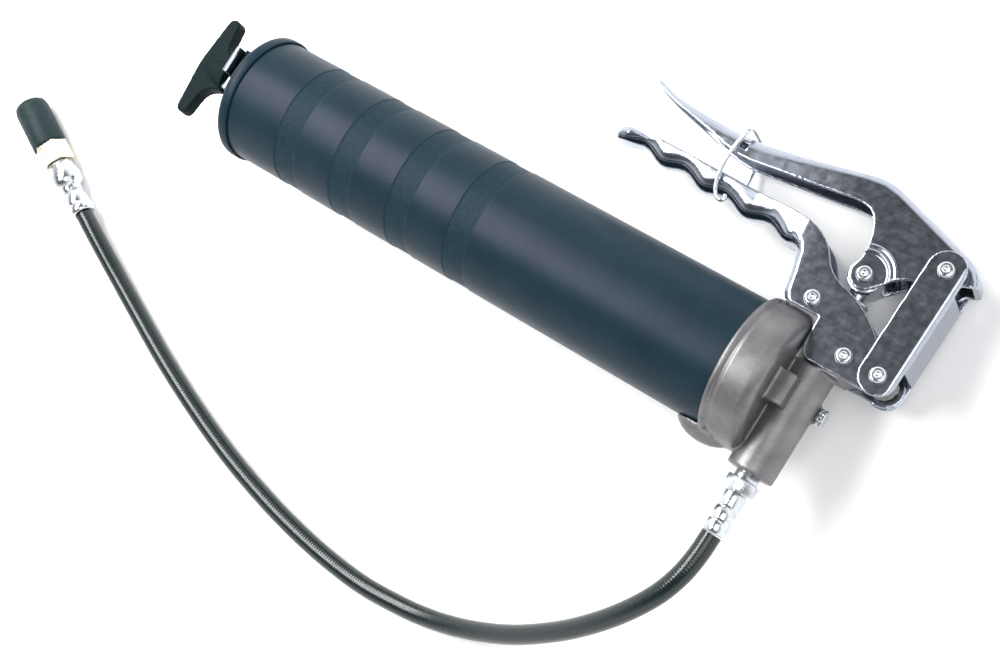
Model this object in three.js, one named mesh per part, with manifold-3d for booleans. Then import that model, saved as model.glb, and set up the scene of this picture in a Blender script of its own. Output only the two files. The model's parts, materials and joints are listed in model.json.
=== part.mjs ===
// Pistol-grip lever grease gun with a whip hose and coupler, lying on its side.
// Millimetres, +Z up. The gun is drawn in its own frame and then laid down by one group:
//   gun X runs along the barrel towards the pump head, with 0 at the rear edge of the head's rim,
//   gun Y runs from the outlet towards the lever, and gun Z is square to the lever's plane.
import * as THREE from "three";
import { mergeVertices } from "three/addons/utils/BufferGeometryUtils.js";
import Module from "manifold-3d";

const wasm = await Module();
wasm.setup();

// ---- driving dimensions ----
const GAP = 0.3;                     // clearance between pieces that touch

const BARREL_RADIUS = 28.6;
const BARREL_WALL = 1.4;
const BARREL_REAR = -259.2;
const BARREL_FRONT = 10.6;
const GRIP_BANDS = 4;                // textured bands rolled into the barrel
const BAND_FIRST = -222;
const BAND_PITCH = 32;
const BAND_WIDTH = 11.3;
const BAND_DEPTH = 0.3;

const RIM_RADIUS = 31.5;
const HEAD_FACE = 18.6;
const PUMP_X = 25.2;                 // axis of the plunger and the outlet
const PUMP_RADIUS = 10;
const PUMP_BOTTOM = -35;
const PLUNGER_RADIUS = 4;
const TONGUE_HALF = 9;               // half the width of the head's riveted tongue
const TONGUE_TOP = 43;

const SHEET = 1.8;                   // thickness of the stamped steel pieces
const BRACKET_HALF = TONGUE_HALF + GAP + SHEET;
const LEVER_HALF = 9;
const LINK_HALF = BRACKET_HALF + GAP + SHEET + 0.2;
const LINK_END_RADIUS = 8.1;

const RIVET_REAR = [13, 36.2];       // bracket to head
const RIVET_FRONT = [35.8, 21.9];
const PIN_LINK_LOW = [51.6, 21.4];   // link to bracket
const PIN_LINK_TOP = [52.9, 69.3];   // link to lever
const PIN_PLUNGER = [PUMP_X, 54.4];  // lever to plunger
const RIVET_RADIUS = 2.4;
const HEAD_RADIUS = 3.4;
const HEAD_HEIGHT = 1.3;

const ROD_RADIUS = 3.2;
const ROD_REAR = -292.5;
const HANDLE_FRONT = -281.2;
const CAP_FACE = -262;

const HOSE_RADIUS = 4.4;
const COUPLER_HEIGHT = 8.8;          // axis of the coupler above the bench

const ROLL = THREE.MathUtils.degToRad(13.2);  // the gun leans until its lever meets the bench
const GUN_PLACE = [117.045, -23.907, RIM_RADIUS]; // rim centre, seen from the foot of the gun's box

// Where the hose's middle line runs, from the crimped ferrule at the pump to the one at the coupler.
const HOSE_ROUTE = [
  [25.2, -60.85, 45.8], [24.8, -70.3, 47.9], [23, -80.3, 49.3], [18.6, -91.3, 48.7],
  [11, -103.2, 45.8], [1.2, -115.2, 41], [-11.2, -127.8, 34.4], [-24, -138.6, 27.6],
  [-38, -148.8, 20.4], [-53, -157.6, 13.6], [-68, -164.6, 8.5], [-83, -169.6, 5.5],
  [-98, -172.6, 4.5], [-119, -174.6, 4.5], [-141, -173.8, 4.5], [-163, -171.1, 4.5],
  [-184, -167, 4.5], [-206, -161.4, 4.5], [-227, -154.6, 4.5], [-248.5, -146.4, 4.5],
  [-269.5, -137.4, 4.5], [-290, -127.5, 4.5], [-310, -117, 5.4], [-323.5, -109.2, 7],
  [-335.4, -102.2, 8.4], [-344.1, -97.4, COUPLER_HEIGHT],
];

// ---- materials ----
const finish = (color, roughness, metalness) =>
  new THREE.MeshStandardMaterial({ color, roughness, metalness });
const NAVY_PAINT = finish(0x232838, 0.45, 0.3);
const CAST_ALLOY = finish(0x8b8783, 0.5, 0.8);
const ZINC_PLATE = finish(0xb9bdc6, 0.25, 0.95);
const BRIGHT_STEEL = finish(0xd5d8dc, 0.18, 1);
const SPRING_STEEL = finish(0x55595f, 0.35, 0.9);
const BLACK_PLASTIC = finish(0x191c1e, 0.45, 0);
const BLACK_RUBBER = finish(0x0f1112, 0.35, 0);
const NICKEL = finish(0xcfc8b0, 0.3, 0.9);

// ---- solids ----
const solid = (geometry) => {
  const bare = geometry.clone();
  bare.deleteAttribute("normal");
  bare.deleteAttribute("uv");
  const welded = mergeVertices(bare, 1e-4);
  return new wasm.Manifold(new wasm.Mesh({
    numProp: 3,
    vertProperties: new Float32Array(welded.attributes.position.array),
    triVerts: new Uint32Array(welded.index.array),
  }));
};

const toGeometry = (manifold) => {
  const mesh = manifold.getMesh();
  const geometry = new THREE.BufferGeometry();
  geometry.setAttribute("position", new THREE.BufferAttribute(new Float32Array(mesh.vertProperties), 3));
  geometry.setIndex(new THREE.BufferAttribute(new Uint32Array(mesh.triVerts), 1));
  return geometry;
};

const join = (...geometries) => toGeometry(geometries.map(solid).reduce((sum, one) => sum.add(one)));
const cut = (body, ...tools) =>
  toGeometry(tools.map(solid).reduce((rest, tool) => rest.subtract(tool), solid(body)));

const common = (one, other) => toGeometry(solid(one).intersect(solid(other)));

const box = (low, high) => {
  const size = high.map((value, axis) => value - low[axis]);
  const middle = high.map((value, axis) => (value + low[axis]) / 2);
  return new THREE.BoxGeometry(...size).translate(...middle);
};

// A turned piece about gun X: the profile is a list of [x, radius] points.
const turnedX = (profile, sides = 40) => {
  const points = profile.map(([x, radius]) => new THREE.Vector2(radius, x));
  return new THREE.LatheGeometry(points, sides).rotateZ(-Math.PI / 2);
};

// A turned ring or tube about gun X: its profile closes on itself.
const turnedRing = (profile, sides = 40) => turnedX([...profile, profile[0]], sides);

// The same, about a line along gun Y that passes through (x, z).
const turnedY = (profile, x, z = 0, sides = 32) => {
  const points = profile.map(([y, radius]) => new THREE.Vector2(radius, y));
  return new THREE.LatheGeometry(points, sides).translate(x, 0, z);
};

const pinZ = (radius, [x, y], low, high, sides = 20) =>
  new THREE.CylinderGeometry(radius, radius, high - low, sides)
    .rotateX(Math.PI / 2).translate(x, y, (low + high) / 2);

const pinY = (radius, low, high, x, z = 0, sides = 24) =>
  new THREE.CylinderGeometry(radius, radius, high - low, sides).translate(x, (low + high) / 2, z);

const pinX = (radius, low, high, y = 0, z = 0, sides = 24) =>
  new THREE.CylinderGeometry(radius, radius, high - low, sides)
    .rotateZ(Math.PI / 2).translate((low + high) / 2, y, z);

const hexY = (acrossFlats, low, high, x) =>
  pinY(acrossFlats / Math.sqrt(3), low, high, x, 0, 6);

// The clearance hole that a rivet or pin passes through.
const pinHole = (spot) => pinZ(RIVET_RADIUS + GAP, spot, -20, 20);

// An outline in gun XY, extruded from -half to +half along gun Z.
const plate = (shape, half) =>
  new THREE.ExtrudeGeometry(shape, { depth: 2 * half, bevelEnabled: false, curveSegments: 8 })
    .translate(0, 0, -half);

const outline = (points) => new THREE.Shape(points.map(([x, y]) => new THREE.Vector2(x, y)));

// Seen from above, a part's half width changes along its length: the plan is a list of [x, half width].
const prism = (plan) => {
  const near = plan.map(([x, half]) => [x, half]);
  const far = plan.map(([x, half]) => [x, -half]).reverse();
  return new THREE.ExtrudeGeometry(outline([...near, ...far]), { depth: 200, bevelEnabled: false })
    .rotateX(Math.PI / 2).translate(0, 150, 0);
};

// A folded sheet channel: its outline from the side, less what is pressed out between the two sides.
const channel = (shape, hollow, plan) => {
  const inner = plan.map(([x, half]) => [x, half - SHEET]);
  const wide = 2 * BRACKET_HALF;
  const body = common(plate(shape, wide), prism(plan));
  return cut(body, common(plate(hollow, wide), prism(inner)));
};

const mix = THREE.MathUtils.lerp;

// A round bar bent along a curve.
const bentBar = (points, radius, steps, sides) => {
  const curve = new THREE.CatmullRomCurve3(points.map((point) => new THREE.Vector3(...point)));
  const section = new THREE.Shape();
  for (let side = 0; side < sides; side += 1) {
    const angle = 2 * Math.PI * side / sides;
    const spot = [radius * Math.cos(angle), radius * Math.sin(angle)];
    if (side === 0) section.moveTo(...spot);
    else section.lineTo(...spot);
  }
  return new THREE.ExtrudeGeometry(section, { steps, bevelEnabled: false, extrudePath: curve });
};

const helix = (turns, radius, start, end, pointsPerTurn, place) => {
  const count = Math.round(turns * pointsPerTurn);
  return Array.from({ length: count + 1 }, (_, i) => {
    const angle = 2 * Math.PI * turns * i / count;
    return place(mix(start, end, i / count), radius * Math.cos(angle), radius * Math.sin(angle));
  });
};

// ---- the assembly ----
const gun = new THREE.Group();
const bench = new THREE.Group();
const model = new THREE.Group();

const add = (group, name, geometry, material) => {
  const mesh = new THREE.Mesh(geometry, material);
  mesh.name = name;
  group.add(mesh);
  return mesh;
};

// ---- barrel ----
const buildBarrel = () => {
  const outer = [[BARREL_REAR, BARREL_RADIUS]];
  for (let band = 0; band < GRIP_BANDS; band += 1) {
    const middle = BAND_FIRST + band * BAND_PITCH;
    const low = middle - BAND_WIDTH / 2;
    const high = middle + BAND_WIDTH / 2;
    outer.push([low, BARREL_RADIUS], [low + 0.4, BARREL_RADIUS - BAND_DEPTH]);
    outer.push([high - 0.4, BARREL_RADIUS - BAND_DEPTH], [high, BARREL_RADIUS]);
  }
  outer.push([BARREL_FRONT, BARREL_RADIUS]);
  const bore = BARREL_RADIUS - BARREL_WALL;
  add(gun, "barrel_tube", turnedRing([...outer, [BARREL_FRONT, bore], [BARREL_REAR, bore]]), NAVY_PAINT);

  const inside = BARREL_RADIUS + GAP;
  const capWall = 0.9;
  add(gun, "end_cap", turnedRing([
    [CAP_FACE, ROD_RADIUS + 0.4], [CAP_FACE, inside - 1.2], [CAP_FACE + 1.4, inside + capWall],
    [CAP_FACE + 5.2, inside + capWall], [CAP_FACE + 5.8, inside + 0.3], [CAP_FACE + 5.8, inside],
    [BARREL_REAR - GAP, inside], [BARREL_REAR - GAP, ROD_RADIUS + 0.4],
  ]), NAVY_PAINT);
  add(gun, "barrel_gasket", turnedRing([
    [BARREL_FRONT + GAP, 26.2], [BARREL_FRONT + GAP, 28.5],
    [BARREL_FRONT + 1.2, 28.5], [BARREL_FRONT + 1.2, 26.2],
  ]), BLACK_RUBBER);
};

// ---- follower rod, its T handle and its lock ----
const buildHandle = () => {
  // The bar comes to a low ridge at the rear and flares into a neck, where the rod screws in.
  const tip = 21.8;
  const bar = new THREE.Shape();
  bar.moveTo(HANDLE_FRONT, 7.4);
  bar.quadraticCurveTo(-288.6, 8.6, -290, 14);
  bar.lineTo(-291, tip);
  bar.absarc(-294.2, tip, 3.2, 0, Math.PI * 0.93, false);
  bar.lineTo(-299.4, 1.5);
  bar.lineTo(-299.4, -1.5);
  bar.absarc(-294.2, -tip, 3.2, Math.PI * 1.07, 2 * Math.PI, false);
  bar.lineTo(-290, -14);
  bar.quadraticCurveTo(-288.6, -8.6, HANDLE_FRONT, -7.4);
  const flare = [[-297.4, 0], [-297.4, 3.4], [-289, 5.8], [HANDLE_FRONT, 8.2], [HANDLE_FRONT, 0]];
  const socket = pinX(ROD_RADIUS + GAP, ROD_REAR - GAP, HANDLE_FRONT + 1);
  add(gun, "t_handle", cut(join(plate(bar, 3.6), turnedX(flare, 24)), socket), BLACK_PLASTIC);
};

const buildFollower = () => {
  add(gun, "follower_rod", pinX(ROD_RADIUS, ROD_REAR, -3.2), BRIGHT_STEEL);
  const hole = ROD_RADIUS + 0.3;
  add(gun, "follower_plate", turnedRing([[-18, hole], [-18, 25], [-16.2, 25], [-16.2, hole]]), ZINC_PLATE);
  add(gun, "follower_cup", turnedRing([
    [-15.9, hole], [-15.9, 25.6], [-19.6, 26.4], [-19.6, 26.9], [-12.8, 26.9], [-12.8, hole],
  ]), BLACK_RUBBER);
  const washer = turnedRing([[-12.5, hole], [-12.5, 14], [-11, 14], [-11, hole]], 32);
  add(gun, "follower_washer", washer, ZINC_PLATE);
  add(gun, "follower_nut", cut(pinX(6.4, -10.7, -5.5, 0, 0, 6), pinX(hole, -12, -4)), ZINC_PLATE);
  const coils = helix(18, 22.5, BARREL_REAR + 1.6, -20.2, 8, (x, y, z) => [x, y, z]);
  add(gun, "follower_spring", bentBar(coils, 1.2, 18 * 8, 4), SPRING_STEEL);
};

const buildRodLock = () => {
  // Both are drawn in (Y, Z) and stood across the rod; their thumb side reaches towards the lever.
  const across = (points, rear, front) =>
    new THREE.ExtrudeGeometry(outline(points), { depth: front - rear, bevelEnabled: false })
      .rotateY(Math.PI / 2).rotateX(Math.PI / 2).translate(rear, 0, 0);
  const hole = pinX(ROD_RADIUS + 0.8, -285, -255);
  const block = [[-6, -7], [14.5, -7], [14.5, 8], [-0.5, 8], [-0.5, 5.6], [-6, 5.6]];
  const tab = [[-6, -7], [13.5, -7], [13.5, 12], [0.5, 12], [0.5, 5.8], [-6, 5.8]];
  add(gun, "rod_guide_block", cut(across(block, -277.4, CAP_FACE - GAP), hole), BLACK_PLASTIC);
  add(gun, "rod_lock_plate", cut(across(tab, -280, -277.7), hole), ZINC_PLATE);
};

// ---- pump head ----
const buildHead = () => {
  const socket = BARREL_RADIUS + GAP;
  const face = HEAD_FACE;
  const cap = turnedX([
    [face - 5.6, 0], [face - 5.6, 26], [BARREL_FRONT + 1.5, 26], [BARREL_FRONT + 1.5, socket], [0, socket],
    [0, RIM_RADIUS - 0.8], [0.8, RIM_RADIUS], [4.8, RIM_RADIUS], [5.6, RIM_RADIUS - 0.8],
    [6.6, RIM_RADIUS - 0.8], [7.2, RIM_RADIUS - 0.4], [15.2, RIM_RADIUS - 0.7],
    [17.4, RIM_RADIUS - 1.9], [face - 0.2, RIM_RADIUS - 3.8], [face, 26], [face, 0],
  ]);
  const cylinder = turnedY([
    [PUMP_BOTTOM, 0], [PUMP_BOTTOM, PUMP_RADIUS - 0.6], [PUMP_BOTTOM + 0.6, PUMP_RADIUS],
    [13.4, PUMP_RADIUS], [13.4, 0],
  ], PUMP_X);
  const tongue = plate(outline([
    [3.6, 29.4], [3.6, 38], [8, TONGUE_TOP], [31, TONGUE_TOP], [36, 35], [42.6, 28.5], [42.6, 16.6],
    [38, 13], [17, 13], [17, 29.4],
  ]), TONGUE_HALF);
  const fillerBoss = box([14.7, -7.7, 3], [26.3, 5.8, 18]);
  const heel = new THREE.SphereGeometry(1, 20, 14).scale(14.4, 9.4, 7).translate(0.4, -24.9, 0);
  const heelRoom = pinX(socket, -30, BARREL_FRONT + 1.5, 0, 0, 40);
  const lug = cut(heel, heelRoom);
  const valveBoss = pinX(4.2, 28, 35.4, -1.5, -4, 20);

  const bore = pinY(PLUNGER_RADIUS + 0.15, -23.5, 60, PUMP_X);
  const glandThread = pinY(6.2, 36, 60, PUMP_X);
  const seat = pinY(2.2, -26, -20, PUMP_X);
  const outlet = pinY(5.3, -40, -25, PUMP_X);
  const inlet = pinX(3.4, face - 8, PUMP_X, -8);
  const bleed = pinX(2.6, PUMP_X + 3, 40, -1.5, -4, 16);
  const holes = [RIVET_REAR, RIVET_FRONT].map(pinHole);
  const body = join(cap, cylinder, tongue, fillerBoss, lug, valveBoss);
  add(gun, "pump_head", cut(body, bore, glandThread, seat, outlet, inlet, bleed, ...holes), CAST_ALLOY);
};

const buildPump = () => {
  add(gun, "packing_ring", turnedY([
    [36.3, PLUNGER_RADIUS + 0.15], [36.3, 6], [38.6, 6], [38.6, PLUNGER_RADIUS + 0.15],
    [36.3, PLUNGER_RADIUS + 0.15],
  ], PUMP_X), BLACK_RUBBER);
  const nut = join(pinY(5.9, 38.9, TONGUE_TOP + GAP + 0.1, PUMP_X), hexY(11, TONGUE_TOP + GAP, 44.8, PUMP_X));
  add(gun, "packing_nut", cut(nut, pinY(PLUNGER_RADIUS + 0.2, 30, 50, PUMP_X)), ZINC_PLATE);

  // The plunger's eye is slotted across, so its pin can follow the lever's arc.
  const eye = join(pinY(PLUNGER_RADIUS, -20, 50, PUMP_X), pinZ(7.1, PIN_PLUNGER, -6.6, 6.6, 28));
  const slot = box([PUMP_X - 4.6, 50.9, -8], [PUMP_X + 4.6, 57.9, 8]);
  add(gun, "plunger", cut(eye, slot), BRIGHT_STEEL);

  add(gun, "check_ball", new THREE.SphereGeometry(3, 16, 12).translate(PUMP_X, -27.4, 0), BRIGHT_STEEL);
  const coil = helix(3, 2.3, -31.4, -35.1, 10, (y, x, z) => [PUMP_X + x, y, z]);
  add(gun, "check_spring", bentBar(coil, 0.35, 30, 5), SPRING_STEEL);

  // The bleeder valve screws into the front of the pump cylinder; its knob is two knurled rings.
  const knurl = new THREE.Shape();
  const teeth = 14;
  for (let tooth = 0; tooth < 2 * teeth; tooth += 1) {
    const angle = Math.PI * tooth / teeth;
    const radius = tooth % 2 ? 3.1 : 3.6;
    const spot = [radius * Math.cos(angle), radius * Math.sin(angle)];
    if (tooth === 0) knurl.moveTo(...spot);
    else knurl.lineTo(...spot);
  }
  const ring = (rear) => new THREE.ExtrudeGeometry(knurl, { depth: 1.3, bevelEnabled: false })
    .rotateY(Math.PI / 2).translate(rear, -1.5, -4);
  const stem = pinX(2.3, 30, 38.4, -1.5, -4, 16);
  add(gun, "bleeder_valve", join(ring(35.7), ring(37.5), stem), BRIGHT_STEEL);
};

// ---- stamped steel lever work ----
const fingerEdge = (x) => 56.65 - 0.0715 * (x + 55) - 1.45 * Math.cos(2 * Math.PI * (x + 54) / 21.3);

const fingerPoints = (lift) => {
  const count = 30;
  return Array.from({ length: count + 1 }, (_, i) => mix(-86, -8, i / count))
    .map((x) => [x, fingerEdge(x) + lift]);
};

const GRIP_PLAN = [
  [-110, 3], [-99.4, 4.4], [-97, 7.2], [-93, 8.7], [-88, 8.5], [-82, 7.7], [-30, 7.7],
  [-22, 8.3], [-12, 10], [-5, 10.9], [2, BRACKET_HALF], [80, BRACKET_HALF],
];
const LEVER_PLAN = [
  [-110, 4.6], [-94, 5.2], [-78, 6.7], [-60, 7.4], [-40, 7.6], [-22, 8.2], [-6, 8.8],
  [4, LEVER_HALF], [80, LEVER_HALF],
];
const LINK_PLAN = [[0, LINK_HALF], [100, LINK_HALF]];

const buildBracket = () => {
  const [cx, cy] = PIN_LINK_LOW;
  const lobe = 7.6;
  const shape = new THREE.Shape();
  shape.moveTo(-99.6, 59.8);
  shape.quadraticCurveTo(-99.4, 58, -96.4, 58.2);
  shape.quadraticCurveTo(-91, 58.8, ...fingerPoints(0)[0]);
  fingerPoints(0).slice(1).forEach(([x, y]) => shape.lineTo(x, y));
  shape.quadraticCurveTo(-3.6, 52, -3, 49.6);
  shape.lineTo(-0.7, 41.7);
  shape.lineTo(1.1, 33.4);
  shape.lineTo(2.8, 30.9);
  shape.lineTo(19, 30.9);
  shape.lineTo(19.2, 20.4);
  shape.quadraticCurveTo(19.6, 14.2, 25, 13.9);
  shape.lineTo(cx, cy - lobe);
  shape.absarc(cx, cy, lobe, -Math.PI / 2, Math.PI * 0.45, false);
  shape.lineTo(44.9, 32.4);
  shape.quadraticCurveTo(34, 42.6, 23.5, 45.4);
  shape.quadraticCurveTo(14.2, 47.4, 10.4, 53.6);
  shape.quadraticCurveTo(4, 63.8, -12.2, 64.3);
  shape.lineTo(-50, 65);
  shape.lineTo(-84, 65.7);
  shape.quadraticCurveTo(-92.5, 66, -96.6, 64);
  shape.quadraticCurveTo(-99.8, 62.4, -99.6, 59.8);

  const inside = [
    [-94, 90], [-94, 60.4], [-89.8, 61.2], ...fingerPoints(SHEET), [-5.6, 54], [-1.2, 50],
    [1.1, 42], [3, 33.6], [0, 33.3], [0, 0], [80, 0], [80, 90],
  ];
  const metal = channel(shape, outline(inside), GRIP_PLAN);
  const holes = [RIVET_REAR, RIVET_FRONT, PIN_LINK_LOW].map(pinHole);
  add(gun, "handle_bracket", cut(metal, ...holes), ZINC_PLATE);
};

const buildLever = () => {
  const [ex, ey] = PIN_PLUNGER;
  const ear = 6.2;
  const shape = new THREE.Shape();
  shape.moveTo(-95.4, 89.3);
  shape.splineThru([[-84.2, 86], [-70.8, 84.4], [-58, 83.7], [-44, 83.8], [-23.8, 86.1], [-6.9, 89],
    [5.4, 91.3]].map(([x, y]) => new THREE.Vector2(x, y)));
  shape.quadraticCurveTo(13.5, 93.2, 21, 90.7);
  shape.lineTo(56, 79);
  shape.quadraticCurveTo(65.4, 75.4, 65.8, 69.4);
  shape.lineTo(60.2, 67.4);
  shape.quadraticCurveTo(57.4, 62.2, 47, 61.8);
  shape.quadraticCurveTo(38.4, 60.6, 34.4, 54.9);
  shape.lineTo(ex + ear * Math.cos(-0.7), ey + ear * Math.sin(-0.7));
  shape.absarc(ex, ey, ear, -0.7, -Math.PI * 1.12, true);
  shape.quadraticCurveTo(20.9, 62, 20.2, 65);
  shape.quadraticCurveTo(18.2, 74.6, 14.4, 77.6);
  shape.quadraticCurveTo(11, 80.6, 0, 78.7);
  shape.lineTo(-35.4, 74.9);
  shape.quadraticCurveTo(-46, 73.4, -56.2, 76.2);
  shape.lineTo(-82.2, 82.8);
  shape.lineTo(-94.6, 87);

  const inside = [
    [-91.4, 50], [-91.4, 86], [-84.2, 84.1], [-70.8, 82.5], [-58, 81.9], [-44, 82], [-23.8, 84.3],
    [-6.9, 87.2], [6, 89.6], [13.4, 90.4], [20.4, 88.9], [55.2, 77.3], [60.4, 75], [63.4, 71],
    [63.6, 67], [60, 58], [60, 40],
  ];
  const metal = channel(shape, outline(inside), LEVER_PLAN);
  const holes = [PIN_LINK_TOP, PIN_PLUNGER].map(pinHole);
  const clipSlot = box([-48, 77.2, -20], [-44.8, 81.6, 20]);
  add(gun, "pump_lever", cut(metal, ...holes, clipSlot), ZINC_PLATE);
};

const buildLink = () => {
  const [cx, cy] = PIN_LINK_LOW;
  const [dx, dy] = PIN_LINK_TOP;
  const shape = new THREE.Shape();
  shape.absarc(cx, cy, LINK_END_RADIUS, Math.PI, 2 * Math.PI, false);
  shape.absarc(dx, dy, LINK_END_RADIUS, 0, Math.PI, false);
  const inside = outline([[38, 5], [66, 5], [66, 27], [58, 27], [58.9, 62], [66, 62], [66, 85], [38, 85]]);
  const metal = channel(shape, inside, LINK_PLAN);
  const holes = [PIN_LINK_LOW, PIN_LINK_TOP].map(pinHole);
  add(gun, "link", cut(metal, ...holes), ZINC_PLATE);
};

// A rivet or pin with a domed head at each end, just clear of the plates it holds.
const rivet = (spot, half) => {
  const seat = half + GAP;
  const head = (side) => {
    const ends = [side * seat, side * (seat + HEAD_HEIGHT)];
    const crown = side * (seat + HEAD_HEIGHT + 0.4);
    return join(
      pinZ(HEAD_RADIUS, spot, Math.min(...ends), Math.max(...ends)),
      pinZ(HEAD_RADIUS - 1, spot, Math.min(ends[1], crown) - 0.01, Math.max(ends[1], crown)),
    );
  };
  return join(pinZ(RIVET_RADIUS, spot, -seat - 0.1, seat + 0.1), head(1), head(-1));
};

const buildPins = () => {
  add(gun, "rivet_rear", rivet(RIVET_REAR, BRACKET_HALF), BRIGHT_STEEL);
  add(gun, "rivet_front", rivet(RIVET_FRONT, BRACKET_HALF), BRIGHT_STEEL);
  add(gun, "link_pin_lower", rivet(PIN_LINK_LOW, LINK_HALF), BRIGHT_STEEL);
  add(gun, "link_pin_upper", rivet(PIN_LINK_TOP, LINK_HALF), BRIGHT_STEEL);
  add(gun, "plunger_pin", rivet(PIN_PLUNGER, LEVER_HALF), BRIGHT_STEEL);
  const washerHole = pinHole(PIN_LINK_TOP);
  const inner = LEVER_HALF + GAP;
  const outer = LINK_HALF - SHEET - GAP;
  add(gun, "link_washer_front", cut(pinZ(5.4, PIN_LINK_TOP, inner, outer), washerHole), BRIGHT_STEEL);
  add(gun, "link_washer_back", cut(pinZ(5.4, PIN_LINK_TOP, -outer, -inner), washerHole), BRIGHT_STEEL);

  // The spring that opens the lever is wound round the lower link pin, between the bracket's sides.
  const [cx, cy] = PIN_LINK_LOW;
  const coil = helix(6, 5, -7, 7, 12, (z, x, y) => [cx + x, cy + y, z]);
  add(gun, "lever_spring", bentBar(coil, 0.8, 72, 6), SPRING_STEEL);
};

const buildClip = () => {
  // Spring wire over the lever, with a leg down each side that hooks at the grip.
  const wire = [
    [-41.4, 54.6, 9.2], [-43.6, 54.4, 9.3], [-46.2, 57.6, 9.5], [-48.2, 63, 9.7], [-49, 70, 9.8],
    [-48.6, 77, 9.8], [-47.6, 82.6, 9.7], [-46.8, 85.4, 9.1], [-46.4, 86.2, 6.6], [-46.4, 86.3, 0],
    [-46.4, 86.2, -6.6], [-46, 85.4, -9.1], [-45, 82.6, -9.7], [-43.6, 78, -9.8], [-42.6, 70, -9.8],
    [-43, 62.4, -9.6], [-44.4, 57.4, -9.4], [-44.6, 54.8, -9.2], [-43, 54, -9.2],
  ];
  add(gun, "lever_clip", bentBar(wire, 0.9, 60, 8), BRIGHT_STEEL);
};

// ---- outlet, hose and coupler ----
const buildOutlet = () => {
  const turned = turnedY([
    [-44, 1.9], [-44, 4.6], [-38.4, 4.6], [-38.4, 5.2], [PUMP_BOTTOM - GAP, 5.2],
    [PUMP_BOTTOM - GAP, 4.9], [-30.6, 4.9], [-30.6, 3.3], [-35.6, 3.3], [-35.6, 1.9], [-44, 1.9],
  ], PUMP_X);
  const hex = cut(hexY(12.6, -43.4, -38.2, PUMP_X), pinY(3, -50, -30, PUMP_X));
  add(gun, "outlet_fitting", join(turned, hex), BRIGHT_STEEL);
  add(gun, "outlet_ferrule", turnedY([
    [-62.2, 2], [-62.2, 4.6], [-61.6, 5], [-58, 5.1], [-57, 4.6], [-56, 5.1], [-52, 4.9],
    [-51.4, 4.4], [-50.6, 4.4], [-50, 4.9], [-44.3, 4.9], [-44.3, 2], [-62.2, 2],
  ], PUMP_X), BRIGHT_STEEL);
};

const buildHose = () => {
  const steps = 76;
  add(bench, "hose", bentBar(HOSE_ROUTE, HOSE_RADIUS, steps, 10), BLACK_RUBBER);
};

const buildCoupler = () => {
  const end = new THREE.Vector3(...HOSE_ROUTE[HOSE_ROUTE.length - 1]);
  const before = new THREE.Vector3(...HOSE_ROUTE[HOSE_ROUTE.length - 2]);
  const heading = Math.atan2(end.y - before.y, end.x - before.x);
  const coupler = new THREE.Group();
  coupler.position.copy(end);
  coupler.rotation.z = heading;
  bench.add(coupler);

  add(coupler, "coupler_ferrule", turnedRing([
    [GAP, 2], [GAP, 5.6], [1.4, 6.2], [4.4, 6.1], [5.4, 5.6], [6.4, 6], [9.4, 5.6], [12.6, 5.1], [12.6, 2],
  ], 32), BRIGHT_STEEL);
  add(coupler, "coupler_body", turnedRing([
    [12.9, 2], [12.9, 5], [16, 5.2], [17.4, 7], [19.6, 7.7], [24, 7.7], [26.6, 6.8], [29.8, 6.6],
    [29.8, 5.4], [52, 5.4], [52, 2],
  ], 32), BRIGHT_STEEL);
  const nutBore = pinX(5.7, 25, 45);
  const nut = pinX(8.8, 30.1, 41.2, 0, 0, 6).rotateX(-THREE.MathUtils.degToRad(16));
  add(coupler, "coupler_nut", cut(nut, nutBore), NICKEL);
  add(coupler, "coupler_sleeve", turnedRing([
    [41.5, 5.7], [41.5, 8.2], [42.4, 8.5], [64.4, 8.5], [66.8, 7.9], [67.8, 6.8], [67.8, 4.4],
    [64, 4.4], [60, 6.3], [52.4, 6.3], [52.4, 5.7],
  ], 32), BLACK_RUBBER);

  // Four hardened jaws stand in the sleeve's mouth and grip the grease nipple.
  const jawRing = turnedRing([[52.7, 3], [52.7, 6], [59.4, 6], [63, 4.1], [65.6, 4.1], [65.6, 3]], 32);
  const slit = (angle) => box([56, -0.5, 0], [70, 0.5, 9]).rotateX(angle);
  const slits = [0, 1, 2, 3].map((quarter) => slit(Math.PI / 4 + quarter * Math.PI / 2));
  add(coupler, "coupler_jaws", cut(jawRing, ...slits), BRIGHT_STEEL);
};

buildBarrel();
buildHandle();
buildFollower();
buildRodLock();
buildHead();
buildPump();
buildBracket();
buildLever();
buildLink();
buildPins();
buildClip();
buildOutlet();
buildHose();
buildCoupler();

gun.rotation.x = -ROLL;
gun.position.set(0, 0, GUN_PLACE[2]);
model.add(gun, bench);
model.position.set(GUN_PLACE[0], GUN_PLACE[1], 0);
model.updateMatrixWorld(true);

export default model;
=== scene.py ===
"""Looks for the grease gun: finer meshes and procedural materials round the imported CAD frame."""
import json
import math

import bmesh
import bpy
from mathutils import Matrix, Vector
from mathutils.kdtree import KDTree


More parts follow.
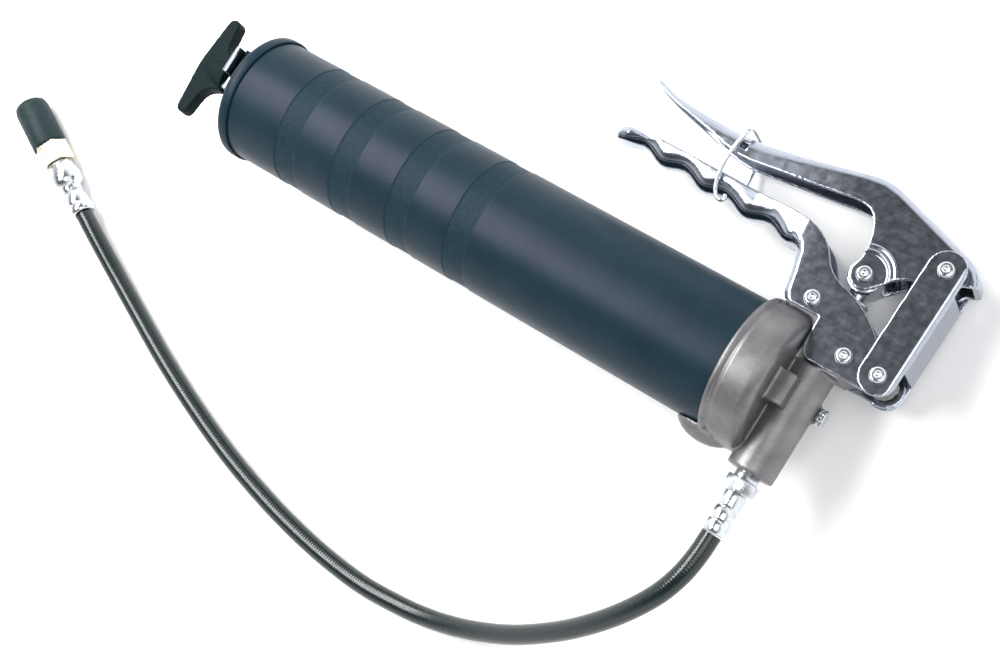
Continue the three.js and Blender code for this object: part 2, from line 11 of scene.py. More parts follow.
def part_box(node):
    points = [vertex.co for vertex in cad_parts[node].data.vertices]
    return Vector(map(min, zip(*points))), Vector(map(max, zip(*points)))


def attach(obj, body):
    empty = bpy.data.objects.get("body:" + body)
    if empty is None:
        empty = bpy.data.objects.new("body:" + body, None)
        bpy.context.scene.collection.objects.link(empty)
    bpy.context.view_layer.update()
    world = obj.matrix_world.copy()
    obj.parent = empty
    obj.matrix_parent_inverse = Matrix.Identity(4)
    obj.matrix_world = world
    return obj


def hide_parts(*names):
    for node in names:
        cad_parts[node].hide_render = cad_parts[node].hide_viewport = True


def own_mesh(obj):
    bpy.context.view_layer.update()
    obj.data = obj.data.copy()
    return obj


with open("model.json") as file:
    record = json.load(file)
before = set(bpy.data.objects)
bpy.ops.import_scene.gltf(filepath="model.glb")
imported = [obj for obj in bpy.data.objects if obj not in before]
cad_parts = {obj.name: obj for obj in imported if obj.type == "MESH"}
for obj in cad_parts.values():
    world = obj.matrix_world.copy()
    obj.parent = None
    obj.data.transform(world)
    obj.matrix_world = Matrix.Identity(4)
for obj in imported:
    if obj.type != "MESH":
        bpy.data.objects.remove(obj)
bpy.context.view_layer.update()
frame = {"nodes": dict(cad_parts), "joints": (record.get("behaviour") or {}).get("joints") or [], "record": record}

MM = 0.001

# ---- the gun's own frame, from the record's joints ----
JOINTS = {joint["name"]: joint for joint in frame["joints"]}
PIN_LOW = Vector(JOINTS["link_swing"]["pos_m"])
AXIS_X = Vector((1, 0, 0))
AXIS_Z = Vector(JOINTS["link_swing"]["axis"])
AXIS_Y = AXIS_Z.cross(AXIS_X)
PIN_LOW_MM = (51.6, 21.4)            # where the lower link pin stands in the gun's frame
GUN_ZERO = PIN_LOW - (AXIS_X * PIN_LOW_MM[0] + AXIS_Y * PIN_LOW_MM[1]) * MM


def at(x, y, z=0.0):
    """A point of the gun's frame, in millimetres, as a point of the row's frame in metres."""
    return GUN_ZERO + (AXIS_X * x + AXIS_Y * y + AXIS_Z * z) * MM


def gun_place(point):
    """The other way round: where a point of the row's frame stands in the gun's frame."""
    offset = (point - GUN_ZERO) / MM
    return offset.dot(AXIS_X), offset.dot(AXIS_Y), offset.dot(AXIS_Z)


# ---- camera, as fitted to the photograph's view of the gun ----
IMAGE_WIDTH = 1000
FOCAL_PIXELS = 1800
SENSOR_MM = 36
CAMERA_AT = Vector((0.33146, 0.05733, 0.7163))
CAMERA_FORWARD = Vector((-0.4134, -0.1565, -0.8970))
CAMERA_UP = Vector((-0.4653, 0.8831, 0.0603))


def make_camera():
    data = bpy.data.cameras.new("camera")
    data.sensor_width = SENSOR_MM
    data.lens = FOCAL_PIXELS / IMAGE_WIDTH * SENSOR_MM
    camera = bpy.data.objects.new("camera", data)
    bpy.context.scene.collection.objects.link(camera)
    back = -CAMERA_FORWARD.normalized()
    right = CAMERA_UP.cross(back).normalized()
    up = back.cross(right)
    turn = Matrix((right, up, back)).transposed()
    camera.matrix_world = Matrix.Translation(CAMERA_AT) @ turn.to_4x4()
    bpy.context.scene.camera = camera


# ---- hose route, repeated from part.mjs, in metres before the gun's place on the bench is added ----
BENCH_SHIFT = Vector((0.117045, -0.023907, 0))
HOSE_DIAMETER = 0.0088
HOSE_ROUTE = [
    (0.0252, -0.06085, 0.0458), (0.0248, -0.0703, 0.0479), (0.023, -0.0803, 0.0493),
    (0.0186, -0.0913, 0.0487), (0.011, -0.1032, 0.0458), (0.0012, -0.1152, 0.041),
    (-0.0112, -0.1278, 0.0344), (-0.024, -0.1386, 0.0276), (-0.038, -0.1488, 0.0204),
    (-0.053, -0.1576, 0.0136), (-0.068, -0.1646, 0.0085), (-0.083, -0.1696, 0.0055),
    (-0.098, -0.1726, 0.0045), (-0.119, -0.1746, 0.0045), (-0.141, -0.1738, 0.0045),
    (-0.163, -0.1711, 0.0045), (-0.184, -0.167, 0.0045), (-0.206, -0.1614, 0.0045),
    (-0.227, -0.1546, 0.0045), (-0.2485, -0.1464, 0.0045), (-0.2695, -0.1374, 0.0045),
    (-0.29, -0.1275, 0.0045), (-0.31, -0.117, 0.0054), (-0.3235, -0.1092, 0.007),
    (-0.3354, -0.1022, 0.0084), (-0.3441, -0.0974, 0.0088),
]


def catmull_rom(points, per_span):
    """A smooth line through the points."""
    ends = [2 * points[0] - points[1], *points, 2 * points[-1] - points[-2]]
    line = []
    for i in range(1, len(ends) - 2):
        a, b, c, d = ends[i - 1:i + 3]
        for step in range(per_span):
            t = step / per_span
            line.append(0.5 * (2 * b + (c - a) * t + (2 * a - 5 * b + 4 * c - d) * t ** 2
                               + (3 * b - a - 3 * c + d) * t ** 3))
    line.append(points[-1])
    return line


def respaced(line, spacing):
    """The same line with its points evenly spaced."""
    marks = [0.0]
    for a, b in zip(line, line[1:]):
        marks.append(marks[-1] + (b - a).length)
    count = round(marks[-1] / spacing)
    out, span = [], 0
    for i in range(count + 1):
        want = marks[-1] * i / count
        while span < len(line) - 2 and marks[span + 1] < want:
            span += 1
        part = (want - marks[span]) / (marks[span + 1] - marks[span])
        out.append(line[span].lerp(line[span + 1], min(1, part)))
    return out, marks[-1]


# ---- meshes ----
SHARP_ANGLE = math.radians(40)
BEVEL_ANGLE = math.radians(38)
BEVEL_MM = 0.35
WELD_DISTANCE = 1e-6


def shade_smooth(mesh):
    """Smooth shading on every face; no vertex moves."""
    mesh.polygons.foreach_set("use_smooth", [True] * len(mesh.polygons))


def new_object(name, verts, faces, material):
    mesh = bpy.data.meshes.new(name)
    mesh.from_pydata([tuple(v) for v in verts], [], faces)
    shell = bmesh.new()
    shell.from_mesh(mesh)
    bmesh.ops.recalc_face_normals(shell, faces=shell.faces)
    shell.to_mesh(mesh)
    shell.free()
    obj = bpy.data.objects.new(name, mesh)
    bpy.context.scene.collection.objects.link(obj)
    mesh.materials.append(material)
    shade_smooth(mesh)
    mesh.set_sharp_from_angle(angle=SHARP_ANGLE)
    return obj


def swept_tube(name, line, radius_at, sides, material):
    """A tube of changing radius along a line, closed at both ends."""
    verts, faces = [], []
    normal = None
    for i, point in enumerate(line):
        ahead = line[min(i + 1, len(line) - 1)] - line[max(i - 1, 0)]
        ahead.normalize()
        if normal is None:
            normal = ahead.orthogonal()
        normal = (normal - ahead * normal.dot(ahead)).normalized()
        side = ahead.cross(normal)
        radius = radius_at(i)
        for k in range(sides):
            angle = 2 * math.pi * k / sides
            verts.append(point + radius * (math.cos(angle) * normal + math.sin(angle) * side))
    for i in range(len(line) - 1):
        for k in range(sides):
            a, b = i * sides + k, i * sides + (k + 1) % sides
            faces.append((a, b, b + sides, a + sides))
    faces.append(tuple(reversed(range(sides))))
    faces.append(tuple(range(len(verts) - sides, len(verts))))
    return new_object(name, verts, faces, material)


def turned(name, profile, start, axis, sides, material):
    """A lathe form about a line: the profile is a closed loop of [distance, radius] in millimetres."""
    axis = axis.normalized()
    u = axis.orthogonal().normalized()
    v = axis.cross(u)
    verts, faces = [], []
    count = len(profile)
    for k in range(sides):
        angle = 2 * math.pi * k / sides
        out = math.cos(angle) * u + math.sin(angle) * v
        for along, radius in profile:
            verts.append(start + (axis * along + out * radius) * MM)
    for k in range(sides):
        for i in range(count):
            j = (i + 1) % count
            a, b = k * count, ((k + 1) % sides) * count
            faces.append((a + i, b + i, b + j, a + j))
    return new_object(name, verts, faces, material)


def refined(node, voxel_mm, passes, material):
    """The CAD node's own shape, remeshed and relaxed so that its edges and corners are rounded."""
    piece = bpy.data.objects.new(node + "_fine", frame["nodes"][node].data.copy())
    bpy.context.scene.collection.objects.link(piece)
    remesh = piece.modifiers.new("remesh", "REMESH")
    remesh.mode = "VOXEL"
    remesh.voxel_size = voxel_mm * MM
    relax = piece.modifiers.new("relax", "SMOOTH")
    relax.factor = 0.5
    relax.iterations = passes
    baked = bpy.data.meshes.new_from_object(piece.evaluated_get(bpy.context.evaluated_depsgraph_get()))
    piece.modifiers.clear()
    piece.data = baked
    baked.materials.clear()
    baked.materials.append(material)
    shade_smooth(baked)
    return piece


def soften(node, material):
    """A CAD node whose shape is right keeps it, with its edges broken by a small bevel."""
    obj = frame["nodes"][node]
    weld = obj.modifiers.new("weld", "WELD")
    weld.merge_threshold = WELD_DISTANCE
    bevel = obj.modifiers.new("bevel", "BEVEL")
    bevel.width = BEVEL_MM * MM
    bevel.segments = 2
    bevel.limit_method = "ANGLE"
    bevel.angle_limit = BEVEL_ANGLE
    bevel.harden_normals = False
    shade_smooth(obj.data)
    obj.data.materials.clear()
    obj.data.materials.append(material)


def level(stops, x):
    """The value at x of a line drawn through [x, value] stops."""
    for (a, low), (b, high) in zip(stops, stops[1:]):
        if x <= b:
            part = min(1, max(0, (x - a) / (b - a)))
            return low + (high - low) * part
    return stops[-1][1]


FOLD_STEP_MM = 0.4
FOLD_REACH = 6                       # steps each way over which the inward direction is averaged


def fold(piece, edge, plan, bend):
    """Sheet metal is bent, not mitred: along the folded edge the square corner becomes a round bend.

    The edge is a line of gun X, Y points that runs with the metal on its left, the plan gives the half
    width at each X, and bend the outside radius of the bend there. The sheet keeps its thickness.
    """
    marks = []
    for a, b in zip(edge, edge[1:]):
        ahead = Vector((b[0] - a[0], b[1] - a[1], 0))
        steps = max(1, round(ahead.length / FOLD_STEP_MM))
        inward = Vector((-ahead.y, ahead.x, 0)).normalized()
        for step in range(steps):
            marks.append((Vector((a[0], a[1], 0)) + ahead * (step / steps), inward))
    inwards = []
    for i in range(len(marks)):
        near = marks[max(0, i - FOLD_REACH):i + FOLD_REACH + 1]
        inwards.append(sum((inward for _, inward in near), Vector()).normalized())
    tree = KDTree(len(marks))
    for i, (spot, _) in enumerate(marks):
        tree.insert(spot, i)
    tree.balance()
    for vertex in piece.data.vertices:
        x, y, z = gun_place(vertex.co)
        half = level(plan, x)
        radius = min(level(bend, x), half - 0.1)
        height = max(0, half - abs(z))
        if height >= radius:
            continue
        near, index, away = tree.find(Vector((x, y, 0)))
        inward = inwards[index]
        depth = max(0, (Vector((x, y, 0)) - near).dot(inward))
        if depth >= radius or away > radius + 1:
            continue
        u, v = radius - depth, radius - height
        shrink = max(u, v) / math.hypot(u, v)
        slide = u * (1 - shrink)
        drop = v * (1 - shrink)
        move = AXIS_X * inward.x + AXIS_Y * inward.y
        vertex.co += (move * slide - AXIS_Z * math.copysign(drop, z)) * MM


def stands_for(piece, node, body):
    """The piece takes the CAD node's place and rides with its body."""
    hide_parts(node)
    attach(piece, body)


# ---- materials ----
class Nodes:
    """A small helper that builds a node tree for a surface measured in millimetres."""

    def __init__(self, name):
        self.material = bpy.data.materials.new(name)
        self.material.use_nodes = True
        self.tree = self.material.node_tree
        self.shader = self.tree.nodes["Principled BSDF"]
        where = self.tree.nodes.new("ShaderNodeTexCoord")
        scale = self.tree.nodes.new("ShaderNodeVectorMath")
        scale.operation = "SCALE"
        scale.inputs["Scale"].default_value = 1000
        self.tree.links.new(where.outputs["Object"], scale.inputs[0])
        self.place = scale.outputs[0]
        self.bumps = None

    def noise(self, scale, detail=3, rough=0.5, stretch=None):
        node = self.tree.nodes.new("ShaderNodeTexNoise")
        node.inputs["Scale"].default_value = scale
        node.inputs["Detail"].default_value = detail
        node.inputs["Roughness"].default_value = rough
        place = self.place
        if stretch:
            drawn = self.tree.nodes.new("ShaderNodeVectorMath")
            drawn.operation = "MULTIPLY"
            drawn.inputs[1].default_value = stretch
            self.tree.links.new(place, drawn.inputs[0])
            place = drawn.outputs[0]
        self.tree.links.new(place, node.inputs["Vector"])
        return node.outputs["Fac"]

    def cells(self, scale):
        node = self.tree.nodes.new("ShaderNodeTexVoronoi")
        node.inputs["Scale"].default_value = scale
        self.tree.links.new(self.place, node.inputs["Vector"])
        return node.outputs["Distance"]

    def ramp(self, source, stops):
        node = self.tree.nodes.new("ShaderNodeValToRGB")
        ramp = node.color_ramp
        while len(ramp.elements) < len(stops):
            ramp.elements.new(0.5)
        for element, (spot, color) in zip(ramp.elements, stops):
            element.position = spot
            element.color = (*color, 1)
        self.tree.links.new(source, node.inputs["Fac"])
        return node.outputs["Color"]

    def grey(self, source, low, high, start=0.3, end=0.7):
        """A plain value that rises from low to high as the source goes from start to end."""
        return self.ramp(source, [(start, (low,) * 3), (end, (high,) * 3)])

    def painted_edge_highlight(self, color, highlight_color, low=0.52, high=0.6):
        """A painted highlight: a lighter colour along the convex edges, from the surface's own curvature."""
        geometry = self.tree.nodes.new("ShaderNodeNewGeometry")
        mask = self.grey(geometry.outputs["Pointiness"], 0, 1, low, high)
        mix = self.tree.nodes.new("ShaderNodeMix")
        mix.data_type = "RGBA"
        self.tree.links.new(mask, mix.inputs["Factor"])
        self.tree.links.new(color, mix.inputs["A"])
        mix.inputs["B"].default_value = (*highlight_color, 1)
        return mix.outputs["Result"]

    def bump(self, source, depth_mm, strength=1):
        node = self.tree.nodes.new("ShaderNodeBump")
        node.inputs["Distance"].default_value = depth_mm * MM
        node.inputs["Strength"].default_value = strength
        self.tree.links.new(source, node.inputs["Height"])
        if self.bumps:
            self.tree.links.new(self.bumps, node.inputs["Normal"])
        self.bumps = node.outputs["Normal"]

    def done(self, color, roughness, metallic, **constants):
        links = self.tree.links
        links.new(color, self.shader.inputs["Base Color"])
        links.new(roughness, self.shader.inputs["Roughness"])
        self.shader.inputs["Metallic"].default_value = metallic
        if self.bumps:
            links.new(self.bumps, self.shader.inputs["Normal"])
        for name, value in constants.items():
            self.shader.inputs[name.replace("_", " ")].default_value = value
        return self.material


def powder_coat():
    n = Nodes("navy_powder_coat")
    color = n.ramp(n.noise(0.05, 4), [(0.3, (0.002, 0.015, 0.023)), (0.7, (0.003, 0.02, 0.03))])
    roughness = n.grey(n.noise(1.1, 3), 0.38, 0.46)
    n.bump(n.noise(1.5, 2), 0.07, 0.5)
    return n.done(color, roughness, 0.0, Specular_IOR_Level=0.17, Specular_Tint=(1, 0.82, 1, 1))


def band_texture():
    n = Nodes("rolled_band")
    color = n.ramp(n.noise(0.4, 4), [(0.3, (0.002, 0.017, 0.026)), (0.7, (0.005, 0.023, 0.034))])
    roughness = n.grey(n.noise(2), 0.46, 0.6)
    n.bump(n.cells(1.1), 0.2, 0.55)
    return n.done(color, roughness, 0.0, Specular_IOR_Level=0.14, Specular_Tint=(1, 0.82, 1, 1))


def cast_alloy():
    n = Nodes("cast_alloy")
    color = n.ramp(n.noise(0.12, 5), [(0.3, (0.14, 0.137, 0.14)), (0.7, (0.2, 0.195, 0.197))])
    roughness = n.grey(n.noise(0.9), 0.36, 0.48)
    n.bump(n.noise(2.2, 4, 0.6), 0.08, 0.6)
    n.bump(n.noise(0.35, 2), 0.1, 0.25)
    return n.done(color, roughness, 0.85)


def zinc_plate():
    n = Nodes("zinc_plate")
    streaks = n.noise(1, 5, 0.65, stretch=(0.07, 1.5, 1.5))
    color = n.ramp(streaks, [(0.3, (0.3, 0.33, 0.38)), (0.5, (0.36, 0.39, 0.45)),
                             (0.72, (0.43, 0.47, 0.53))])
    roughness = n.grey(n.noise(0.3, 4, 0.6), 0.15, 0.22)
    n.bump(n.noise(0.11, 2), 0.07, 0.35)
    n.bump(n.noise(1, 3, 0.6, stretch=(0.1, 2, 2)), 0.006, 0.4)
    return n.done(color, roughness, 1.0)


def bright_steel():
    n = Nodes("bright_steel")
    color = n.ramp(n.noise(0.6, 4), [(0.3, (0.5, 0.53, 0.56)), (0.7, (0.66, 0.69, 0.71))])
    roughness = n.grey(n.noise(1.2, 4), 0.14, 0.28)
    n.bump(n.noise(2.4, 3), 0.02, 0.2)
    return n.done(color, roughness, 1.0)


def warm_nickel():
    n = Nodes("warm_nickel")
    color = n.ramp(n.noise(0.5, 4), [(0.3, (0.62, 0.58, 0.45)), (0.7, (0.75, 0.71, 0.58))])
    roughness = n.grey(n.noise(1.2, 4), 0.22, 0.34)
    n.bump(n.noise(2, 3), 0.02, 0.25)
    return n.done(color, roughness, 1.0)


def spring_steel():
    n = Nodes("spring_steel")
    color = n.ramp(n.noise(1, 4), [(0.3, (0.13, 0.13, 0.14)), (0.7, (0.24, 0.23, 0.22))])
    return n.done(color, n.grey(n.noise(2), 0.28, 0.46), 1.0)


def black_plastic():
    n = Nodes("black_plastic")
    base = n.ramp(n.noise(0.4, 3), [(0.3, (0.002, 0.008, 0.009)), (0.7, (0.004, 0.012, 0.013))])
    # painted highlight: a lighter colour laid along the convex edges
    color = n.painted_edge_highlight(base, (0.014, 0.027, 0.028), 0.53, 0.62)
    n.bump(n.noise(5, 2), 0.03, 0.35)
    return n.done(color, n.grey(n.noise(1.5), 0.5, 0.65), 0.0, Specular_IOR_Level=0.08)


def hose_rubber():
    n = Nodes("hose_rubber")
    color = n.ramp(n.noise(0.5, 4), [(0.3, (0.003, 0.009, 0.009)), (0.7, (0.006, 0.014, 0.014))])
    n.bump(n.noise(3, 2), 0.02, 0.3)
    return n.done(color, n.grey(n.noise(1.2), 0.18, 0.3), 0.0, Specular_IOR_Level=0.5)


def soft_rubber():
    n = Nodes("soft_rubber")
    color = n.ramp(n.noise(0.5, 4), [(0.3, (0.006, 0.018, 0.02)), (0.7, (0.012, 0.027, 0.029))])
    n.bump(n.noise(4, 3), 0.05, 0.5)
    return n.done(color, n.grey(n.noise(1.2), 0.45, 0.62), 0.0, Specular_IOR_Level=0.22)


POWDER = powder_coat()
BAND = band_texture()
CAST = cast_alloy()
ZINC = zinc_plate()
BRIGHT = bright_steel()
NICKEL = warm_nickel()
SPRING = spring_steel()
PLASTIC = black_plastic()
HOSE = hose_rubber()
RUBBER = soft_rubber()

make_camera()


# ---- hose ----
RIB_PITCH = 0.0013
RIB_SHAPE = (0, -0.6, -1, -0.6)
RIB_DEPTH = 0.00006
HOSE_SIDES = 24


def make_hose():
    """The whip hose, with the fine rings of its sleeve."""
    points = [Vector(p) + BENCH_SHIFT for p in HOSE_ROUTE]
    line, length = respaced(catmull_rom(points, 24), RIB_PITCH / len(RIB_SHAPE))

    def radius_at(i):
        return HOSE_DIAMETER / 2 + RIB_DEPTH * RIB_SHAPE[i % len(RIB_SHAPE)]

    hose = swept_tube("whip_hose", line, radius_at, HOSE_SIDES, HOSE)
    stands_for(hose, "hose", "gun")


make_hose()

# ---- barrel ----
BARREL_WALL = 1.4
BARREL_SIDES = 128
BAND_EDGE = (
    (-6.1, 0), (-5.85, 0), (-5.45, 0.3), (-5.1, 0.3), (5.1, 0.3), (5.45, 0.3), (5.85, 0), (6.1, 0))
BAND_COUNT = 4
BAND_PITCH = 32
FIRST_BAND = -222                    # the rear band's middle, along the gun


def make_barrel():
    """The tube with its rolled bands, each a shallow groove [distance from its middle, depth]."""
    low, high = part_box("barrel_tube")
    start = Vector((0, GUN_ZERO.y, GUN_ZERO.z))
    rear, front = low.x / MM, high.x / MM
    radius = (high.y - low.y) / 2 / MM
    bore = radius - BARREL_WALL
    profile = [(rear, bore), (rear, radius)]
    for band in range(BAND_COUNT):
        middle = GUN_ZERO.x / MM + FIRST_BAND + BAND_PITCH * band
        for offset, depth in BAND_EDGE:
            profile.append((middle + offset, radius - depth))
    profile += [(front, radius), (front, bore)]
    tube = turned("barrel", profile, start, AXIS_X, BARREL_SIDES, POWDER)
    tube.data.materials.append(BAND)
    count = len(profile)
    for index, face in enumerate(tube.data.polygons):
        spot = index % count
        in_band = 2 <= spot < 2 + BAND_COUNT * len(BAND_EDGE) and 1 <= (spot - 2) % len(BAND_EDGE) <= 5
        face.material_index = 1 if in_band else 0
    stands_for(tube, "barrel_tube", "gun")


make_barrel()


# ---- end cap, rivets, clip and spring ----
CAP_SHEET = 0.9
CAP_BEND = 2.2
CAP_HOLE = 3.6


def make_end_cap():
    """The pressed cap: a rolled rim round a flat face with a raised ring round the rod."""
    low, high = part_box("end_cap")
    radius = (high.y - low.y) / 2 / MM
    inside = radius - CAP_SHEET
    depth = (high.x - low.x) / MM
    rim = [(CAP_BEND - CAP_BEND * math.sin(a), radius - CAP_BEND + CAP_BEND * math.cos(a))
           for a in (math.pi / 2 * k / 8 for k in range(9))]
    profile = [(depth, inside), (depth, radius - 0.35), (depth - 0.5, radius)] + rim
    profile += [(0.5, radius - 2 * CAP_BEND), (0.5, 9.5), (0.1, 8.7), (0.1, CAP_HOLE), (2.5, CAP_HOLE),
                (2.5, inside)]
    start = Vector((low.x, GUN_ZERO.y, GUN_ZERO.z))
    cap = turned("cap", profile, start, AXIS_X, BARREL_SIDES, POWDER)
    stands_for(cap, "end_cap", "gun")


RIVET_HEAD, RIVET_SHANK = 3.35, 2.4
RIVET_HEAD_HEIGHT = 1.7
RIVET_SIDES = 40
RIVETS = (("rivet_rear", "gun"), ("rivet_front", "gun"), ("link_pin_lower", "gun"),
          ("link_pin_upper", "lever"), ("plunger_pin", "lever"))


def make_rivet(node, body):
    """A semi-tubular rivet: each end is rolled over into a ring round a dimple."""
    low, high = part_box(node)
    middle = (low + high) / 2
    points = [v.co for v in frame["nodes"][node].data.vertices]
    reach = max((p - middle).dot(AXIS_Z) for p in points) / MM
    seat = reach - RIVET_HEAD_HEIGHT
    ring = [(seat, RIVET_SHANK), (seat, RIVET_HEAD - 0.2), (seat + 0.35, RIVET_HEAD)]
    ring += [(seat + 0.35 + 1.3 * math.sin(a), RIVET_HEAD - 1.15 + 1.15 * math.cos(a))
             for a in (math.pi / 2 * k / 6 for k in range(1, 7))]
    ring += [(reach - 0.1, 1.7), (reach - 0.7, 1.3), (reach - 1.0, 0.7), (reach - 1.05, 0.02)]
    profile = [(-t, r) for t, r in reversed(ring)] + ring
    pin = turned(node + "_turned", profile, middle, AXIS_Z, RIVET_SIDES, BRIGHT)
    stands_for(pin, node, body)


CLIP_RADIUS = 0.85
CLIP_WIRE = [
    (-41.2, 56.6, 9.4), (-40.4, 55.4, 9.5), (-41.2, 54.1, 9.6), (-42.8, 54, 9.6), (-44.6, 55, 9.4),
    (-46.6, 58, 9.5), (-48.2, 63, 9.7), (-49, 70, 9.8), (-48.6, 77, 9.8), (-47.6, 82.6, 9.7),
    (-46.8, 85.5, 9.1), (-46.4, 86.5, 6.6), (-46.4, 86.6, 0), (-46.4, 86.5, -6.6), (-46, 85.4, -9.1),
    (-45, 82.6, -9.7), (-43.6, 78, -9.8), (-42.6, 70, -9.8), (-42.8, 64, -9.6), (-43.2, 59.6, -9.4),
]


def make_clip():
    """Round spring wire with an eye rolled at its near end."""
    line, _ = respaced(catmull_rom([at(*spot) for spot in CLIP_WIRE], 10), 0.6 * MM)
    wire = swept_tube("clip_wire", line, lambda i: CLIP_RADIUS * MM, 14, BRIGHT)
    stands_for(wire, "lever_clip", "clip")


def make_spring():
    """The follower's spring: the CAD coil with its doubled points welded, in spring steel, riding with the gun."""
    coil = bpy.data.objects.new("follower_coil", frame["nodes"]["follower_spring"].data.copy())
    bpy.context.scene.collection.objects.link(coil)
    wire = bmesh.new()
    wire.from_mesh(coil.data)
    bmesh.ops.remove_doubles(wire, verts=wire.verts, dist=WELD_DISTANCE)
    wire.to_mesh(coil.data)
    wire.free()
    coil.data.materials.clear()
    coil.data.materials.append(SPRING)
    shade_smooth(coil.data)
    stands_for(coil, "follower_spring", "gun")
    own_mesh(coil)


make_end_cap()
make_clip()
make_spring()
for node, body in RIVETS:
    make_rivet(node, body)


# ---- casting and stampings: every outline below is in gun millimetres ----
RIM_PROFILE = [(-1, 30.6), (0, 30.7), (0.5, 31.35), (1.0, 31.5), (1.9, 31.5), (2.5, 31.15), (3.0, 30.55),
               (3.5, 30.5), (4.1, 30.85), (5, 31.05), (14, 30.85)]
RIM_REACH, RIM_FRONT = 29.9, 14      # what lies farther out than the first and behind the second
TURNED_REACH, TURNED_FRONT = 25, 18.9
LUG_HALF, LUG_REACH = 10, 27         # the lugs stand on the turned part and stay as they are
LATHE_FACET = math.radians(9)

GRIP_TOP = 65.8
GRIP_PLAN = [(-110, 3), (-99.4, 4.4), (-97, 7.2), (-93, 8.7), (-88, 8.5), (-82, 7.7), (-30, 7.7),
             (-22, 8.3), (-12, 10), (-5, 10.9), (2, 11.1), (80, 11.1)]
GRIP_BEND = [(-99, 2.6), (-94, 3.6), (-84, 6.8), (-20, 6.8), (-8, 5), (0, 3), (80, 3)]
GRIP_LEAN = [(-99, 0), (-88, 0.13), (-24, 0.13), (-4, 0), (80, 0)]
GRIP_BUTT = [(-86, GRIP_TOP), (-92, 65.6), (-96, 64.2), (-98.8, 62.2), (-99.6, 59.8), (-98.8, 58.4),
             (-96.4, 58.2), (-91, 58.9)]
GRIP_NECK = [(-4.5, 51.6), (-3, 49.6), (-0.7, 41.7), (1.1, 33.4), (2.8, 30.9)]
FINGERS_FROM, FINGERS_STEP, FINGERS_STEPS = -86, 1.5, 53
FINGER_PITCH, FINGER_DEPTH = 21.3, 1.45

LEVER_PLAN = [(-110, 4.6), (-94, 5.2), (-78, 6.7), (-60, 7.4), (-40, 7.6), (-22, 8.2), (-6, 8.8),
              (4, 9), (80, 9)]
LEVER_EDGE = [(66, 66), (65.8, 69.4), (64.6, 72.6), (61.6, 76), (56, 79), (38, 85), (21, 90.7),
              (13.5, 92.1), (5.4, 91.3), (-6.9, 89), (-23.8, 86.1), (-34, 84.7), (-44, 83.8),
              (-58, 83.7), (-70.8, 84.4), (-84.2, 86), (-95.4, 89.3)]
LEVER_BEND = [(-95, 3.5), (-80, 5.5), (-40, 6), (-20, 4.5), (0, 3.6), (80, 3.2)]

LINK_PLAN = [(0, 13.4), (80, 13.4)]
LINK_EDGE = [(59.7, 16), (59.7, 21.4), (61, 69.3), (61, 74)]
LINK_BEND = [(0, 2.4), (80, 2.4)]

PLUNGER_PIN = (25.2, 54.4)
EAR_REACH, EAR_SIDE = 15, 6.5        # the ear is nearer the pin than this, and farther off the middle
EAR_RADIUS, EAR_SLOPE, EAR_DEPTH = 8.6, 0.8, 0.45
RIDGE_RADII = (9.9, 12)
RIDGE_WIDTH, RIDGE_HEIGHT = 0.45, 0.35


def round_cap(head):
    """The casting's rim is turned: the CAD lathe's flats are taken out, and its narrow lip is cut."""
    for vertex in head.data.vertices:
        x, y, z = gun_place(vertex.co)
        reach = math.hypot(y, z)
        on_lug = abs(z) < LUG_HALF and abs(y) > LUG_REACH
        if reach < TURNED_REACH or x > TURNED_FRONT or on_lug:
            continue
        aside = math.atan2(y, z) % LATHE_FACET - LATHE_FACET / 2
        grow = math.cos(aside) / math.cos(LATHE_FACET / 2)
        if reach > RIM_REACH and x < RIM_FRONT:
            grow = level(RIM_PROFILE, x) / reach
        vertex.co += (AXIS_Y * y + AXIS_Z * z) * ((grow - 1) * MM)


def finger_edge(x):
    """The grip's underside: a slope with a wave for the fingers."""
    slope = 56.65 - 0.0715 * (x + 55)
    return slope - FINGER_DEPTH * math.cos(2 * math.pi * (x + 54) / FINGER_PITCH)


def bend_bracket(bracket):
    """The grip is a rounded channel, and its two sides draw together a little towards the fingers."""
    steps = (FINGERS_FROM + FINGERS_STEP * i for i in range(FINGERS_STEPS))
    fingers = [(x, finger_edge(x)) for x in steps]
    fold(bracket, GRIP_BUTT + fingers + GRIP_NECK, GRIP_PLAN, GRIP_BEND)
    for vertex in bracket.data.vertices:
        x, y, z = gun_place(vertex.co)
        draw = level(GRIP_LEAN, x) * max(0, GRIP_TOP - y) / level(GRIP_PLAN, x)
        vertex.co -= AXIS_Z * (z * draw * MM)


def bend_link(link):
    """The link is a channel with one rounded edge along each side of its front."""
    fold(link, LINK_EDGE, LINK_PLAN, LINK_BEND)


def bend_lever(lever):
    """The lever is a rounded channel, and its ear round the plunger pin is pressed inwards."""
    fold(lever, LEVER_EDGE, LEVER_PLAN, LEVER_BEND)
    pin = at(*PLUNGER_PIN)
    for vertex in lever.data.vertices:
        offset = vertex.co - pin
        height = offset.dot(AXIS_Z)
        reach = (offset - AXIS_Z * height).length / MM
        if reach > EAR_REACH or abs(height) < EAR_SIDE * MM:
            continue
        sunk = EAR_DEPTH * (1 - min(1, max(0, (reach - EAR_RADIUS) / EAR_SLOPE)))
        ridges = RIDGE_HEIGHT * sum(math.exp(-((reach - r) / RIDGE_WIDTH) ** 2) for r in RIDGE_RADII)
        vertex.co += AXIS_Z * (math.copysign(1, height) * (ridges - sunk) * MM)


for node, body, voxel, passes, look, slot, shape in (
    ("pump_head", "gun", 0.45, 6, CAST, "cast_alloy", round_cap),
    ("handle_bracket", "gun", 0.35, 7, ZINC, "zinc_plate", bend_bracket),
    ("pump_lever", "lever", 0.35, 7, ZINC, "zinc_plate", bend_lever),
    ("link", "link_body", 0.35, 7, ZINC, "zinc_plate", bend_link),
    ("t_handle", "rod", 0.4, 30, PLASTIC, "black_plastic", None),
):
    fine = refined(node, voxel, passes, look)
    if shape:
        shape(fine)
    stands_for(fine, node, body)


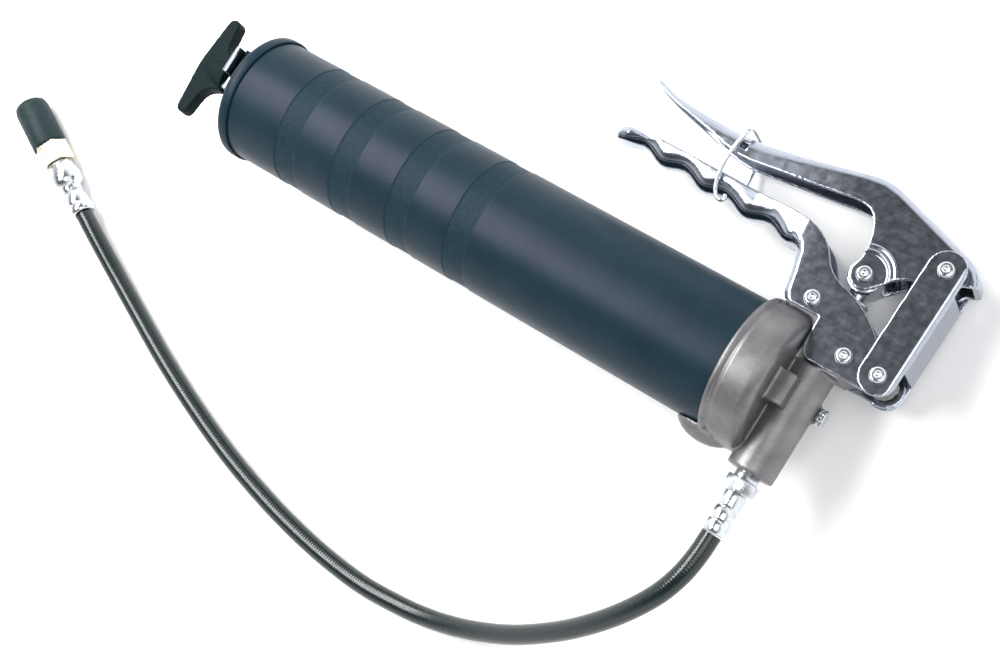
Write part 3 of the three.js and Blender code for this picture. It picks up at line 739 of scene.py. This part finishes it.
# ---- the CAD nodes that keep their own shape ----
LOOKS = {
    "navy_paint": POWDER, "cast_alloy": CAST, "zinc_plate": ZINC, "bright_steel": BRIGHT,
    "nickel": NICKEL, "spring_steel": SPRING, "black_plastic": PLASTIC, "black_rubber": RUBBER,
}
for part in frame["record"]["subparts"]:
    if not frame["nodes"][part["node"]].hide_render:
        soften(part["node"], LOOKS[part["material_slot"]])


# ---- floor and light ----
AIM = Vector((0, -0.03, 0.03))
WORLD_STOPS = ((0.0, 1.8), (0.4, 1.5), (0.74, 0.1))     # straight down to straight up: [place, brightness]


def make_stage():
    bpy.ops.mesh.primitive_plane_add(size=8, location=(0, 0, -0.0002))
    floor = bpy.context.object
    floor.name = "floor"
    n = Nodes("floor_paper")
    color = n.ramp(n.noise(0.002, 2), [(0.3, (0.9, 0.9, 0.9)), (0.7, (0.92, 0.92, 0.92))])
    floor.data.materials.append(n.done(color, n.grey(n.noise(0.01), 0.85, 0.95), 0.0))


def make_light(name, place, along, size, power):
    """A soft box that faces the bench's middle, its long side laid along the given direction."""
    data = bpy.data.lights.new(name, "AREA")
    data.shape = "RECTANGLE"
    data.size, data.size_y = size
    data.energy = power
    lamp = bpy.data.objects.new(name, data)
    bpy.context.scene.collection.objects.link(lamp)
    back = (Vector(place) - AIM).normalized()
    up = back.cross(Vector(along)).normalized()
    turn = Matrix((up.cross(back), up, back)).transposed()
    lamp.matrix_world = Matrix.Translation(Vector(place)) @ turn.to_4x4()


def make_world():
    """An even surround that darkens overhead, which the zinc's flats mirror."""
    bpy.context.scene.view_settings.view_transform = "Standard"
    world = bpy.data.worlds.new("studio")
    bpy.context.scene.world = world
    world.use_nodes = True
    tree = world.node_tree
    where = tree.nodes.new("ShaderNodeTexCoord")
    split = tree.nodes.new("ShaderNodeSeparateXYZ")
    ramp = tree.nodes.new("ShaderNodeValToRGB")
    tree.links.new(where.outputs["Generated"], split.inputs[0])
    tree.links.new(split.outputs["Z"], ramp.inputs["Fac"])
    tree.links.new(ramp.outputs["Color"], tree.nodes["Background"].inputs["Color"])
    tree.nodes["Background"].inputs["Strength"].default_value = 1.0
    ramp.color_ramp.elements.new(0.5)
    for element, (spot, light) in zip(ramp.color_ramp.elements, WORLD_STOPS):
        element.position = spot
        element.color = (light, light, light * 1.02, 1)


make_stage()
make_world()
make_light("key", place=(0.58, 0.22, 1.27), along=(1, 0, 0), size=(0.9, 0.9), power=8.5)
make_light("strip", place=(-0.62, 0.2, 1.02), along=(-0.31, 0.69, -0.27), size=(1.2, 0.38), power=25)
